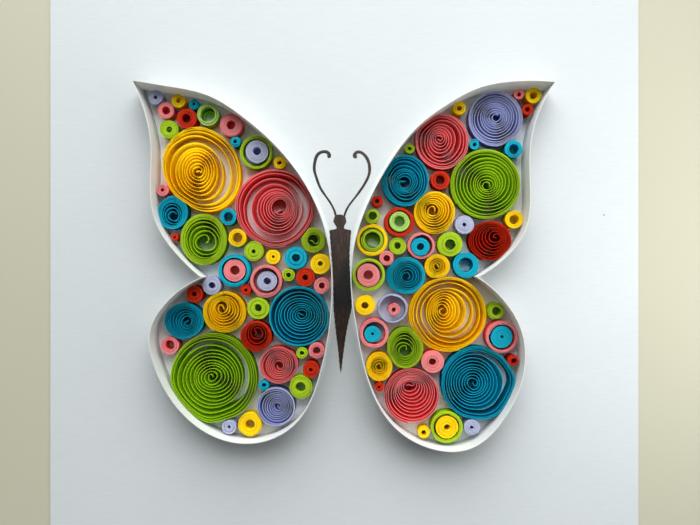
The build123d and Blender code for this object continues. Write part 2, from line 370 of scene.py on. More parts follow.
def brushed_paint():
    """Dark brown paint: black where it pooled, reddish where the brush ran dry, with pale specks
    as painted highlights.
    """
    finish = Finish("dark brown paint", 0.5)
    across, along, _ = finish.split(finish.here())
    strokes = finish.noise((1100.0, 330.0, 400.0), 3.0)
    blotches = finish.noise((420.0, 200.0, 300.0), 3.0)
    # Painted highlights: small pale specks mixed into the paint's colour stand in for glints on
    # its gloss.
    painted_glints = finish.noise((3200.0, 2400.0, 2400.0), 2.0).above(0.66, 0.74)
    slanting = (across * 1000.0 - along * 420.0 + blotches * 2.2).above(0.9, 2.0)
    over_tail = (along * 1000.0 + blotches * 3.0).above(-17.0, -13.0)
    inwards = (across * 1000.0 + blotches * 0.8 - along * 30.0).above(-4.4, -3.6)
    brown = finish.blend(strokes.above(0.46, 0.70), colour(36, 25, 18), colour(70, 44, 29))
    dry = finish.blend(blotches.above(0.56, 0.76) * 0.4, brown, colour(78, 56, 50))
    black = finish.blend(slanting * over_tail * 0.9, dry, colour(18, 18, 20))
    edged = finish.blend((1.0 - inwards) * 0.8, black, colour(22, 20, 20))
    paint = finish.blend(painted_glints * 0.35, edged, colour(150, 130, 112))
    relief = finish.bump(strokes * 0.8 + blotches * 0.5, 0.05, 0.8)
    return finish.finish(Base_Color=paint, Roughness=0.62 - strokes * 0.3, Normal=relief)


def table_finish():
    """A pale, plain table top."""
    finish = Finish("pale table", 0.25)
    cloud = finish.noise((9.0, 9.0, 9.0))
    tooth = finish.noise((700.0, 700.0, 700.0), 3.0)
    paint = finish.blend(cloud, colour(176, 173, 151), colour(183, 180, 160))
    return finish.finish(
        Base_Color=paint, Roughness=0.75 + tooth * 0.1, Normal=finish.bump(tooth, 0.02, 0.4)
    )


# strips


def smooth_rise(low, high, value):
    """0 under `low`, 1 over `high`, 3t² − 2t³ between them."""
    share = np.clip((value - low) / (high - low), 0.0, 1.0)
    return share * share * (3.0 - 2.0 * share)


def smoothed(values, count, mode="edge"):
    """The values evened out by a bell, a cosine's full wave, over `count` of them."""
    bell = np.hanning(count)
    return np.convolve(np.pad(values, count // 2, mode=mode), bell / bell.sum(), mode="valid")


def ray(angle):
    """The unit vectors at the angles."""
    return np.column_stack([np.cos(angle), np.sin(angle)])


def length_along(path):
    """The distance run so far at each point of the path."""
    steps = np.linalg.norm(np.diff(path, axis=0), axis=1)
    return np.concatenate([[0.0], np.cumsum(steps)])


def through(points, step):
    """A smooth line through the points, with a point every `step` or so.

    Each span is a cubic in the distance run so far, from the points and the slopes at
    them; the slopes make the bending continuous, and at the two ends they are those of
    the parabola through the nearest three points.
    """
    points = np.array(points, float)
    knots = length_along(points)
    spans = np.diff(knots)
    rises = np.diff(points, axis=0) / spans[:, None]
    count = len(points)
    system = np.zeros((count, count))
    right = np.zeros_like(points)
    inner = np.arange(1, count - 1)
    system[inner, inner - 1] = spans[1:]
    system[inner, inner] = 2.0 * (spans[:-1] + spans[1:])
    system[inner, inner + 1] = spans[:-1]
    right[1:-1] = 3.0 * (spans[1:, None] * rises[:-1] + spans[:-1, None] * rises[1:])
    system[0, 0] = system[-1, -1] = 1.0
    right[0] = rises[0] + (rises[0] - rises[1]) * spans[0] / (spans[0] + spans[1])
    right[-1] = rises[-1] + (rises[-1] - rises[-2]) * spans[-1] / (spans[-1] + spans[-2])
    slopes = np.linalg.solve(system, right)
    run = np.linspace(0.0, knots[-1], max(3, int(knots[-1] / step)))
    span = np.clip(np.searchsorted(knots, run, side="right") - 1, 0, count - 2)
    wide = spans[span][:, None]
    share = (run - knots[span])[:, None] / wide
    start, end = points[span], points[span + 1]
    leave, arrive = slopes[span] * wide, slopes[span + 1] * wide
    return (
        start * (1 + 2 * share) * (1 - share) ** 2
        + leave * share * (1 - share) ** 2
        + end * share**2 * (3 - 2 * share)
        + arrive * share**2 * (share - 1)
    )


def sideways(path):
    """The unit vector square to the path, on its left, at each of its points."""
    ahead = np.gradient(path, axis=0)
    ahead /= np.maximum(np.linalg.norm(ahead, axis=1), 1e-9)[:, None]
    return np.stack([-ahead[:, 1], ahead[:, 0]], axis=1)


def tube_faces(count, around):
    """The faces between `count` rings of `around` corners that follow each other."""
    first = np.arange(count - 1)[:, None] * around
    edge = np.arange(around)[None, :]
    after = (edge + 1) % around
    faces = [first + edge, first + around + edge, first + around + after, first + after]
    return np.stack(faces, axis=2).reshape(-1, 4)


def standing_strip(path, thickness, foot, top, lean=0.0):
    """A paper strip on its edge: a rectangle carried along the path.

    At distance s the section's four corners are path(s) ± half the thickness, square
    to the path, at the heights foot(s) and top(s); `lean` moves the two upper corners
    to the side. Returns the corners, the faces and each face corner's place on the
    strip: the distance along it in centimetres, and the height from 0 at the foot to 1
    at the top, which is 1.02 all over the cut edge.
    """
    count = len(path)
    side = sideways(path)
    foot = np.broadcast_to(foot, count)
    top = np.broadcast_to(top, count)
    shift = side * np.broadcast_to(lean, count)[:, None]
    half = side * thickness / 2
    section = [
        np.column_stack([path - half, foot]),
        np.column_stack([path - half + shift, top]),
        np.column_stack([path + half + shift, top]),
        np.column_stack([path + half, foot]),
    ]
    distance = length_along(path) / 10.0
    start = np.repeat(distance[:-1, None], 4, axis=1)
    end = np.repeat(distance[1:, None], 4, axis=1)
    low = np.broadcast_to(np.array([0.0, 1.02, 1.0, -0.02]), start.shape)
    high = np.broadcast_to(np.array([1.0, 1.02, 0.0, -0.02]), start.shape)
    along = np.stack([start, end, end, start], axis=2)
    up = np.stack([low, low, high, high], axis=2)
    places = np.stack([along, up], axis=3).reshape(-1, 4, 2)
    last = (count - 1) * 4
    ends = np.array([[0, 1, 2, 3], [last + 3, last + 2, last + 1, last]])
    end_places = np.array([[[0, 0], [0, 1], [0, 1], [0, 0]]] * 2)
    return (
        np.stack(section, axis=1).reshape(-1, 3),
        np.concatenate([tube_faces(count, 4), ends]),
        np.concatenate([places, end_places]),
    )


def put(name, node, parts, material, crease=40.0):
    """One piece from several strips, which stands for the CAD node of that name."""
    offsets = np.cumsum([0] + [len(corners) for corners, _, _ in parts[:-1]])
    corners = np.concatenate([part[0] for part in parts]) * MM
    faces = np.concatenate([part[1] + offset for part, offset in zip(parts, offsets)])
    places = np.concatenate([part[2] for part in parts])
    mesh = bpy.data.meshes.new(name)
    mesh.vertices.add(len(corners))
    mesh.vertices.foreach_set("co", corners.astype(np.float32).ravel())
    mesh.loops.add(faces.size)
    mesh.loops.foreach_set("vertex_index", faces.astype(np.int32).ravel())
    mesh.polygons.add(len(faces))
    mesh.polygons.foreach_set("loop_start", np.arange(0, faces.size, 4, dtype=np.int32))
    mesh.polygons.foreach_set("use_smooth", np.ones(len(faces), dtype=bool))
    layer = mesh.uv_layers.new(name="strip")
    layer.data.foreach_set("uv", places.astype(np.float32).ravel())
    mesh.update()
    mesh.set_sharp_from_angle(angle=radians(crease))
    mesh.materials.append(material)
    piece = bpy.data.objects.new(name, mesh)
    bpy.context.scene.collection.objects.link(piece)
    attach(piece, "root")
    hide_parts(node)


# rims

rims = {
    "left": {
        "tip": (-72.2, 62.0),
        "notch": (-48.5, -5.1),
        "round": [
            (-60.0, 60.0), (-47.0, 57.1), (-34.5, 49.6), (-22.3, 38.7), (-12.7, 25.7),
            (-6.7, 11.6), (-4.2, -5.0), (-4.9, -21.0), (-8.5, -39.0), (-15.5, -53.8),
            (-27.5, -61.0), (-42.5, -60.0), (-56.0, -50.4), (-64.2, -36.2), (-66.1, -23.5),
            (-59.9, -12.9),
        ],
        "edge": [(-68.3, 52.5), (-65.8, 40.5), (-65.8, 27.0), (-64.2, 14.2), (-57.0, 2.9)],
    },
    "right": {
        "tip": (71.9, 61.5),
        "notch": (45.3, -5.0),
        "round": [
            (60.0, 61.8), (46.0, 59.5), (35.0, 53.8), (25.3, 46.6), (16.8, 36.2),
            (9.3, 23.1), (3.8, 8.0), (2.3, -6.0), (4.2, -22.0), (8.4, -40.5),
            (16.5, -55.2), (29.0, -63.0), (42.5, -63.4), (54.4, -53.1), (60.9, -38.5),
            (60.9, -25.0), (54.3, -12.7),
        ],
        "edge": [(67.0, 53.0), (63.6, 41.0), (63.5, 25.0), (61.5, 10.6), (54.7, 1.6)],
    },
}

rim_lines = {}
for side, rim in rims.items():
    by_body = through([rim["tip"], *rim["round"], rim["notch"]], 0.8)
    outside = through([rim["tip"], *rim["edge"], rim["notch"]], 0.8)
    rim_lines[side] = (by_body, outside)


def fold(place):
    """The folded end of a rim: a thin upright post, a circle carried up a line."""
    radius, wall = 0.08, 0.144
    path = np.array(place) + radius * ray(np.linspace(0.0, 2 * pi, 13))
    return standing_strip(path, wall, card_top, card_top + rim_height - 0.05)


white_rim = rim_finish()
for side, lines in rim_lines.items():
    strips = []
    for index, line in enumerate(lines):
        run = np.linspace(0.0, 1.0, len(line))
        sag = 0.03 * np.sin(9.0 * run + index) + 0.024 * np.sin(23.0 * run + 2.0 * index)
        lean = 0.10 * np.sin(7.0 * run + 1.3 * index) * np.sin(pi * run)
        top = card_top + rim_height - 0.06 + sag
        strips.append(standing_strip(line, rim_thickness, card_top, top, lean))
    strips += [fold(rims[side][corner]) for corner in ("tip", "notch")]
    put(f"{side}_paper_rim", f"{side}_rim", strips, white_rim)


# tight rolls


def turn_samples(turns, reach):
    """Places along the winding, so close that no chord leaves its arc by `slack`."""
    slack, smallest = 0.02, 0.35
    fine = np.linspace(0.0, turns, max(64, int(turns * 90)))
    radius = np.maximum(reach(fine), smallest)
    per_turn = np.clip(2 * pi / (2.0 * np.arccos(1.0 - slack / radius)), 14.0, 72.0)
    count = np.cumsum(0.5 * (per_turn[1:] + per_turn[:-1]) * np.diff(fine))
    count = np.concatenate([[0.0], count])
    return np.interp(np.linspace(0.0, count[-1], int(count[-1]) + 2), count, fine)


def tight_roll(centre, radius, hole, chance):
    """A tightly wound roll: a spiral whose reach grows by a strip's thickness a turn.

    reach(t) = hole + pitch t, with two slack turns where it grows a little more, and
    scaled to end at the roll's edge; the turns stand a little higher or lower than each
    other, and the middle may be pushed up.
    """
    first = hole + strip_thickness / 2
    last = radius - strip_thickness / 2
    turns = max(1.2, (last - first) / tight_pitch)
    slack_at = chance.uniform(0.15, 0.95, 2) * turns
    slack_by = chance.uniform(0.04, 0.13, 2)
    turns = max(1.2, (last - first - slack_by.sum()) / tight_pitch)
    spin = chance.choice([-1.0, 1.0])
    begin = chance.uniform(0.0, 2 * pi)

    def reach(turn):
        grown = tight_pitch * turn
        for at, by in zip(slack_at, slack_by):
            grown = grown + by * smooth_rise(at - 0.5, at + 0.5, turn)
        return first + grown * (last - first) / (tight_pitch * turns + slack_by.sum())

    turn = turn_samples(turns, reach)
    grown = reach(turn)
    angle = begin + spin * 2 * pi * turn
    grown = grown * (1.0 + 0.012 * np.sin(2 * angle + begin) * (grown / last) ** 2)
    path = np.array(centre) + grown[:, None] * ray(angle)
    dish = chance.uniform(-0.1, 0.4) * (1.0 - smooth_rise(first, last, grown))
    uneven = 0.07 * np.sin(2.4 * turn + begin) + 0.05 * np.sin(5.1 * turn + 2 * begin)
    rise = np.maximum(0.0, dish) + np.maximum(0.0, uneven)
    top = card_top + strip_height - edge_trim + uneven + dish
    return packed(standing_strip(path, tight_thickness, card_top + rise, top))


def packed(strip):
    """The same strip, marked as lying turn on turn."""
    corners, faces, places = strip
    return corners, faces, places + np.array([packed_mark, 0.0])


def slack_turn(centre, radius, height):
    """A single turn that has come loose inside a roll's hole, 2 mm short of closing."""
    angle = np.linspace(0.0, 2 * pi - 2.0 / radius, 40)
    path = np.array(centre) + (radius * (1.0 - 0.05 * angle / pi))[:, None] * ray(angle)
    return packed(standing_strip(path, loose_thickness, card_top, card_top + height))


# The middle of each roll, its radius and the radius of its hole
tight = {
    "left_lavender_rolls": [
        (-65.9, 57.6, 2.65, 0.6), (-46.2, -8.0, 3.3, 1.1), (-40.1, -57.4, 2.55, 0.5),
    ],
    "left_pink_rolls": [
        (-62.2, 53.1, 3.0, 1.35), (-39.5, 48.0, 4.1, 1.5), (-63.4, 25.3, 2.15, 0.6),
        (-7.8, -8.0, 2.9, 1.0), (-60.9, -28.9, 3.2, 1.6), (-9.6, -30.7, 2.9, 1.25),
    ],
    "left_yellow_rolls": [
        (-57.8, 56.4, 2.45, 0.8), (-22.6, 34.9, 2.3, 0.7), (-37.3, 8.7, 3.2, 1.7),
        (-24.8, 2.0, 2.65, 0.45), (-8.4, -0.4, 3.6, 0.8), (-32.9, -56.6, 4.15, 1.6),
    ],
    "left_turquoise_rolls": [
        (-52.3, 55.2, 1.9, 0.45), (-38.0, 42.1, 1.95, 0.6), (-40.5, 15.9, 2.95, 1.6),
        (-16.9, 1.7, 4.0, 1.3), (-28.0, -42.8, 1.85, 0.7),
    ],
    "left_red_rolls": [
        (-55.0, 50.3, 3.6, 1.45), (-59.1, 8.7, 1.6, 0.35), (-13.6, -5.1, 3.35, 0.95),
        (-52.3, -11.1, 3.05, 0.75), (-34.4, -9.6, 2.0, 0.5), (-11.65, -37.3, 3.0, 0.6),
    ],
    "left_green_rolls": [
        (-61.1, 46.5, 3.3, 0.95), (-31.6, 3.95, 3.5, 0.65), (-19.4, -4.3, 2.3, 0.8),
        (-30.0, -15.9, 3.9, 1.2), (-14.8, -31.6, 2.15, 0.7), (-15.2, -43.5, 4.1, 1.6),
    ],
    "left_pale_green_roll": [(-47.6, 51.6, 3.9, 2.5)],
    "right_yellow_rolls": [
        (40.1, 53.8, 2.35, 0.85), (66.0, 58.2, 2.85, 1.2), (59.2, 15.0, 3.2, 1.6),
        (7.2, -14.9, 3.75, 1.15), (27.8, -59.4, 2.35, 0.8),
    ],
    "right_pink_rolls": [
        (60.9, 58.6, 2.0, 0.65), (14.8, 1.45, 2.65, 1.1), (30.8, -34.6, 4.05, 1.2),
    ],
    "right_red_rolls": [
        (64.0, 53.4, 2.15, 0.75), (33.4, 28.7, 3.4, 1.55), (11.5, 21.5, 2.15, 0.7),
        (59.0, -34.2, 2.15, 0.85), (12.2, -43.4, 1.85, 0.45),
    ],
    "right_green_rolls": [
        (22.8, 39.8, 1.8, 0.6), (9.9, 16.2, 2.7, 1.4), (18.6, 5.8, 3.05, 1.05),
        (36.9, 6.3, 4.45, 1.8), (53.0, -16.9, 3.05, 1.45),
    ],
    "right_turquoise_rolls": [
        (45.4, 41.2, 1.95, 0.6), (59.1, 39.5, 3.25, 1.65), (42.5, -0.9, 4.6, 2.4),
    ],
    "right_lavender_rolls": [(41.9, 13.2, 3.4, 0.6), (44.5, -57.5, 2.8, 0.6)],
    "left_green_ring": [(-30.75, 38.4, 5.8, 4.65)],
    "left_turquoise_ring": [(-38.4, -2.8, 5.8, 4.35)],
    "left_pink_ring": [(-27.3, -6.4, 5.8, 4.45)],
    "right_red_ring": [(19.15, 14.2, 5.25, 3.9)],
    "right_yellow_ring": [(9.7, 7.85, 5.55, 4.25)],
    "right_upper_pink_ring": [(26.8, 5.8, 4.85, 3.75)],
    "right_green_ring": [(8.5, -4.25, 5.75, 4.5)],
    "right_lavender_ring": [(16.9, -16.1, 5.3, 4.5)],
    "right_lower_pink_ring": [(10.5, -24.7, 5.25, 3.85)],
    "right_outer_pink_ring": [(55.0, -26.0, 5.75, 4.4)],
    "right_hind_green_ring": [(35.75, -57.4, 5.75, 4.4)],
    "left_inner_lavender_rolls": [(-30.4, 38.7, 4.05, 1.3), (-26.95, -6.4, 3.5, 1.2)],
    "left_inner_pink_roll": [(-38.2, -2.75, 3.95, 1.6)],
    "right_inner_pale_green_roll": [(19.25, 14.3, 3.6, 1.8)],
    "right_inner_green_roll": [(9.8, 7.85, 4.0, 2.75)],
    "right_inner_turquoise_rolls": [
        (26.6, 5.6, 3.3, 1.2), (9.9, -25.0, 2.9, 0.4), (54.9, -25.9, 3.9, 0.5),
    ],
    "right_inner_pink_rolls": [(8.4, -4.45, 4.1, 1.6), (17.3, -16.4, 2.25, 0.7)],
    "right_inner_yellow_roll": [(35.8, -57.5, 4.0, 1.0)],
}

# Turns that have come loose in a hole: middle, radius and height
slack_turns = {
    "left_green_rolls": [(-61.0, 46.2, 0.62, 4.2)],
    "left_pale_green_roll": [(-47.4, 51.2, 2.1, 3.0)],
    "right_inner_green_roll": [(9.6, 7.4, 2.25, 2.6), (9.6, 7.4, 1.6, 1.0)],
    "right_turquoise_rolls": [(42.4, -1.0, 2.0, 2.6)],
    "right_green_rolls": [(36.7, 6.3, 1.4, 3.6)],
}

for index, (node, rolls) in enumerate(tight.items()):
    chance = np.random.default_rng(500 + index)
    strips = [tight_roll((x, y), radius, hole, chance) for x, y, radius, hole in rolls]
    for x, y, radius, height in slack_turns.get(node, []):
        strips.append(slack_turn((x, y), radius, height))
    hue = hue_of(node)
    paper = papers["pale green" if "pale" in node else hue]
    put(f"wound_{node}", node, strips, paper)


# loose coils

# Each coil as it lies in the wing, from its eye outwards: the sense it is wound in, the
# bearing where its first turn begins, how many turns it has, the points its inner end
# runs through before the first, and its rows. There is one for turn 0, 1 and so on, and
# the last is for the coil's end: how far the turn reaches to the left, the right, the
# foot and the head of the card, and where it is drawn out along a diagonal, by how much.
coils = {
    "left_fore_large_yellow_coil": (
        1, -40, 11.5, [(-51.7, 31.5), (-51.0, 32.0), (-50.2, 31.7)], [
        (-52.2, -49.9, 30.7, 33.1), (-53.3, -49.0, 29.6, 34.4), (-54.3, -48.2, 28.4, 35.5),
        (-55.2, -47.4, 27.2, 36.6), (-56.1, -46.5, 26.0, 37.7), (-57.1, -45.5, 24.8, 38.7),
        (-58.1, -44.4, 23.5, 39.6, -0.3), (-59.2, -42.7, 21.6, 40.7, -0.5),
        (-61.7, -39.8, 19.6, 43.8, -0.9), (-62.6, -37.4, 18.6, 45.6, -1.0),
        (-63.1, -36.7, 18.1, 46.6, -1.0), (-63.5, -36.15, 17.75, 47.4, -1.0),
    ]),
    "left_fore_large_pink_coil": (1, 215, 11.2, [(-22.0, 18.4), (-22.8, 18.2), (-23.8, 17.6)], [
        (-24.8, -20.1, 17.0, 21.7), (-25.6, -19.4, 16.1, 22.4), (-26.4, -18.8, 15.3, 23.1),
        (-27.3, -18.3, 14.4, 23.8), (-28.2, -17.9, 13.4, 24.4), (-29.2, -17.4, 12.4, 25.0),
        (-30.4, -16.8, 11.4, 26.0), (-32.6, -15.8, 10.2, 27.8), (-35.6, -12.8, 7.5, 30.0),
        (-36.9, -11.6, 6.4, 31.8), (-38.2, -10.4, 5.3, 32.7),
    ]),
    "left_fore_turquoise_coil": (1, 110, 9, [(-58.7, 16.8), (-59.1, 17.5)], [
        (-61.0, -58.2, 14.9, 17.8), (-62.1, -57.4, 13.8, 19.3), (-63.1, -56.8, 12.9, 20.4),
        (-63.7, -56.2, 12.5, 21.0), (-65.3, -54.6, 11.65, 23.2),
    ]),
    "left_fore_green_coil": (1, 90, 10.3, [(-48.2, 6.9), (-47.35, 8.1), (-47.7, 9.1)], [
        (-51.6, -46.1, 4.8, 9.7), (-52.3, -44.5, 3.2, 11.2), (-53.7, -43.4, 1.9, 12.8),
        (-54.9, -42.9, 1.3, 14.3), (-55.5, -42.5, 0.8, 15.2), (-57.1, -40.95, -1.1, 17.0),
    ]),
    "left_fore_loose_green_roll": (
        1, -20, 9.4, [(-11.9, 7.6), (-11.4, 7.75), (-10.8, 7.0), (-10.0, 6.6)], [
        (-12.6, -8.9, 5.9, 9.8), (-13.1, -8.3, 5.4, 10.3), (-15.1, -6.65, 3.35, 12.1),
    ]),
    "left_hind_turquoise_coil": (1, 200, 8.2, [(-54.4, -20.2), (-55.2, -20.7)], [
        (-55.9, -53.5, -22.0, -19.3), (-56.9, -52.7, -23.0, -18.4), (-57.7, -52.0, -23.9, -17.4),
        (-58.8, -51.3, -24.5, -16.5), (-59.8, -50.6, -25.1, -15.7), (-60.8, -50.0, -25.6, -15.1),
        (-62.7, -48.9, -26.7, -13.95),
    ]),
    "left_hind_yellow_coil": (1, 130, 9.3, [(-42.0, -16.4), (-42.3, -15.5)], [
        (-43.9, -41.3, -17.4, -14.4), (-45.0, -40.4, -18.3, -13.2), (-45.5, -39.6, -19.2, -12.8),
        (-46.0, -38.6, -20.2, -12.5), (-46.5, -37.7, -21.0, -12.2), (-47.2, -36.6, -22.0, -11.6),
        (-48.1, -35.6, -23.0, -10.9), (-49.25, -34.25, -24.8, -9.95),
    ]),
    "left_hind_large_turquoise_coil": (1, 150, 11.6, [(-14.3, -18.4), (-15.2, -18.0)], [
        (-16.2, -13.5, -19.1, -17.1), (-17.2, -12.6, -20.1, -16.4), (-18.0, -11.8, -20.9, -15.6),
        (-18.8, -11.0, -21.8, -14.8), (-19.8, -10.1, -22.8, -14.0), (-20.8, -9.3, -23.6, -13.2),
        (-22.0, -8.5, -24.7, -12.4), (-23.0, -7.8, -26.0, -11.4), (-24.2, -7.0, -27.4, -10.3),
        (-25.8, -5.9, -28.6, -8.7), (-26.3, -5.4, -29.25, -8.25),
    ]),
    "left_hind_red_coil": (-1, 130, 8.2, [(-31.0, -25.2), (-30.7, -24.4)], [
        (-31.9, -28.7, -25.7, -22.9), (-32.9, -27.7, -27.3, -22.1), (-33.8, -26.7, -28.8, -21.4),
        (-34.4, -26.3, -29.5, -21.0), (-36.35, -25.2, -31.2, -20.35),
    ]),
    "left_hind_large_green_coil": (1, 0, 13.4, [], [
        (-46.8, -45.7, -40.4, -39.3), (-48.0, -44.1, -41.5, -38.1), (-49.2, -42.7, -42.7, -37.0),
        (-50.2, -41.5, -43.8, -36.1), (-51.2, -40.4, -44.8, -35.2), (-52.0, -39.3, -45.9, -34.3),
        (-53.0, -38.2, -47.2, -33.2), (-54.6, -37.2, -48.6, -32.1), (-55.8, -36.4, -49.8, -31.1),
        (-57.2, -35.6, -51.2, -29.6), (-59.0, -33.2, -53.3, -27.0), (-60.0, -32.4, -54.6, -25.9),
        (-60.8, -30.25, -56.5, -24.7),
    ]),
    "left_hind_pink_coil": (1, -60, 8.3, [(-23.4, -36.0), (-23.1, -36.8)], [
        (-24.0, -21.2, -37.4, -34.5), (-24.8, -20.6, -38.2, -33.7), (-25.6, -20.0, -38.9, -32.9),
        (-26.2, -19.4, -39.5, -32.2), (-26.9, -18.8, -40.1, -31.5), (-27.6, -18.1, -40.7, -30.8),
        (-28.8, -17.1, -41.4, -30.0), (-29.75, -16.15, -42.3, -29.1),
    ]),
    "left_hind_lavender_coil": (1, -60, 9.5, [(-23.3, -49.8), (-23.0, -50.3)], [
        (-24.0, -22.2, -50.8, -49.0), (-24.8, -21.5, -51.6, -48.3), (-25.5, -20.9, -52.4, -47.6),
        (-26.3, -20.3, -53.1, -46.9), (-27.1, -19.6, -53.9, -46.2), (-27.9, -18.9, -54.6, -45.6),
        (-28.8, -18.4, -55.5, -44.9), (-30.0, -17.6, -56.5, -44.1), (-30.75, -17.2, -57.2, -43.6),
    ]),
    "right_fore_lavender_coil": (1, 40, 12.2, [], [
        (51.9, 53.8, 49.6, 51.6), (50.9, 54.7, 48.7, 52.5), (50.0, 55.4, 47.9, 53.4),
        (49.2, 56.1, 47.2, 54.1), (48.5, 56.8, 46.5, 54.7), (47.7, 57.6, 45.7, 55.4),
        (46.9, 58.5, 44.8, 56.2), (46.0, 59.4, 43.6, 57.1), (44.9, 60.3, 42.6, 58.0),
        (44.2, 61.0, 41.6, 58.9), (43.2, 62.2, 40.5, 59.7),
    ]),
    "right_fore_pink_coil": (1, -45, 10.6, [(32.6, 43.2), (33.2, 42.8)], [
        (32.2, 34.1, 42.3, 44.1), (31.4, 35.0, 41.4, 44.9), (30.8, 35.7, 40.4, 45.5),
        (30.1, 36.4, 39.3, 46.1), (29.4, 37.3, 38.1, 46.8), (28.7, 38.5, 36.7, 47.9),
        (27.8, 40.4, 35.3, 49.4), (26.2, 41.6, 33.9, 50.4), (25.4, 42.6, 33.2, 51.2),
        (24.75, 43.55, 32.4, 51.8),
    ]),
    "right_fore_turquoise_coil": (1, 160, 9.4, [(21.4, 28.3), (20.3, 28.3)], [
        (19.3, 22.8, 26.1, 29.4), (18.6, 23.6, 25.4, 30.4), (18.0, 24.3, 24.8, 31.3),
        (17.4, 25.0, 24.3, 32.1), (16.8, 25.8, 23.6, 32.9), (15.9, 26.8, 22.5, 34.3),
        (14.7, 27.6, 21.0, 35.6), (14.2, 28.7, 20.4, 36.6), (13.1, 29.6, 19.65, 37.7),
    ]),
    "right_fore_large_green_coil": (1, 105, 13.3, [(50.8, 26.2), (50.7, 27.3), (50.2, 28.0)], [
        (48.6, 51.1, 25.6, 28.1), (47.5, 52.2, 25.0, 29.3), (46.7, 53.0, 24.3, 30.3),
        (45.9, 53.8, 23.5, 31.2), (45.1, 54.6, 22.8, 32.1), (44.2, 55.5, 22.0, 33.1),
        (43.2, 56.7, 21.0, 34.2), (42.0, 58.0, 19.8, 35.4), (40.8, 59.0, 18.5, 36.6),
        (39.4, 59.9, 17.4, 37.9), (38.3, 60.6, 16.2, 38.7), (37.1, 61.5, 15.05, 39.55),
    ]),
    "right_fore_yellow_coil": (1, 100, 8.6, [(31.5, 17.8), (31.6, 19.0), (31.2, 19.6)], [
        (29.5, 32.2, 16.5, 19.7), (28.4, 33.3, 15.8, 20.8), (27.6, 34.2, 15.0, 21.5),
        (27.0, 34.9, 14.3, 22.1), (26.4, 35.9, 13.4, 22.8), (25.8, 37.0, 12.4, 23.5),
        (25.1, 37.9, 11.4, 24.1), (24.35, 38.85, 10.1, 24.95),
    ]),
    "right_fore_red_coil": (-1, 170, 8.4, [(53.2, 8.7), (52.5, 8.7)], [
        (52.0, 54.1, 7.6, 9.9), (50.6, 54.8, 6.6, 10.9), (49.2, 55.4, 5.6, 11.6),
        (48.0, 56.0, 4.6, 12.2), (46.9, 56.6, 3.5, 12.9), (45.9, 57.1, 2.5, 13.5),
        (44.9, 57.6, 1.6, 13.9), (43.25, 58.55, 0.45, 14.45),
    ]),
    "right_middle_yellow_coil": (1, 110, 8.4, [(32.95, -1.8), (32.6, -0.8)], [
        (31.4, 33.2, -2.3, -0.3), (30.7, 34.1, -3.2, 0.4), (30.1, 34.9, -3.7, 1.0),
        (29.5, 35.6, -4.2, 1.6), (28.05, 36.9, -5.6, 2.95),
    ]),
    "right_middle_turquoise_coil": (1, 80, 10.4, [(22.2, -5.6), (22.9, -4.9), (22.6, -4.0)], [
        (20.3, 23.2, -6.2, -3.5), (19.6, 24.3, -7.2, -2.3), (18.9, 25.3, -8.1, -1.4),
        (18.2, 26.2, -8.8, -0.6), (17.5, 27.0, -9.5, 0.1), (16.8, 27.4, -9.9, 0.6),
        (14.7, 28.3, -11.15, 1.95),
    ]),
    "right_hind_large_yellow_coil": (1, 180, 11.3, [(34.6, -16.2), (33.9, -16.2)], [
        (33.3, 35.5, -18.3, -15.6), (32.4, 36.5, -19.3, -14.3), (31.6, 37.5, -20.3, -13.3),
        (30.9, 38.4, -21.4, -12.4), (30.2, 39.5, -22.6, -11.5), (29.5, 41.0, -23.9, -10.5),
        (28.8, 43.3, -25.6, -9.4), (27.0, 46.3, -27.4, -8.6), (25.3, 48.4, -29.3, -6.4),
        (23.9, 49.0, -30.1, -5.6), (22.5, 49.7, -31.0, -4.9),
    ]),
    "right_hind_green_coil": (1, 95, 9.2, [(21.6, -30.4), (21.7, -29.5), (21.3, -29.0)], [
        (19.3, 23.0, -32.6, -29.0), (18.2, 23.8, -33.4, -28.0), (17.5, 24.6, -34.2, -26.5),
        (16.9, 25.2, -34.9, -25.5), (16.4, 25.8, -35.6, -24.4), (16.0, 26.3, -36.1, -23.8),
        (14.8, 27.65, -37.1, -22.45),
    ]),
    "right_hind_large_turquoise_coil": (1, -50, 12.6, [(45.0, -42.0), (45.4, -43.0)], [
        (43.7, 46.3, -43.4, -40.8), (42.6, 47.3, -44.4, -39.7), (41.6, 48.2, -45.3, -38.7),
        (40.6, 49.1, -46.2, -37.7), (39.7, 50.0, -47.1, -36.8), (38.8, 50.9, -48.1, -35.8),
        (38.0, 51.9, -49.2, -34.8), (37.1, 53.2, -50.3, -33.7), (36.1, 54.8, -51.5, -32.6),
        (35.1, 58.2, -53.4, -31.2), (34.5, 59.1, -54.3, -30.2), (33.7, 59.9, -55.3, -29.1),
    ]),
    "right_hind_yellow_coil": (1, 105, 9.6, [(12.75, -36.6), (12.7, -35.5)], [
        (11.3, 13.1, -37.2, -35.2), (10.2, 14.0, -38.2, -34.1), (9.4, 14.8, -39.0, -33.4),
        (9.0, 15.3, -39.5, -32.9), (7.6, 16.9, -41.35, -31.1),
    ]),
    "right_hind_large_pink_coil": (1, 10, 10.7, [(21.5, -42.9), (22.6, -42.6), (23.6, -42.9)], [
        (20.9, 24.3, -44.1, -41.5), (20.1, 25.2, -45.3, -40.9), (19.6, 26.2, -46.6, -40.5),
        (19.1, 27.1, -47.8, -40.2), (18.6, 28.1, -49.0, -39.9), (18.0, 29.1, -50.2, -39.6),
        (17.4, 30.0, -51.4, -39.3), (16.8, 30.8, -52.6, -38.8), (15.9, 31.6, -53.9, -38.1),
        (14.9, 32.5, -55.2, -37.5), (13.95, 33.35, -56.3, -36.9),
    ]),
}
loose = {}
for node, (_, _, turns, _, rows) in coils.items():
    counted = zip([*range(len(rows) - 1), turns], rows)
    loose[node] = np.array([(turn, *row, 0.0)[:6] for turn, row in counted])


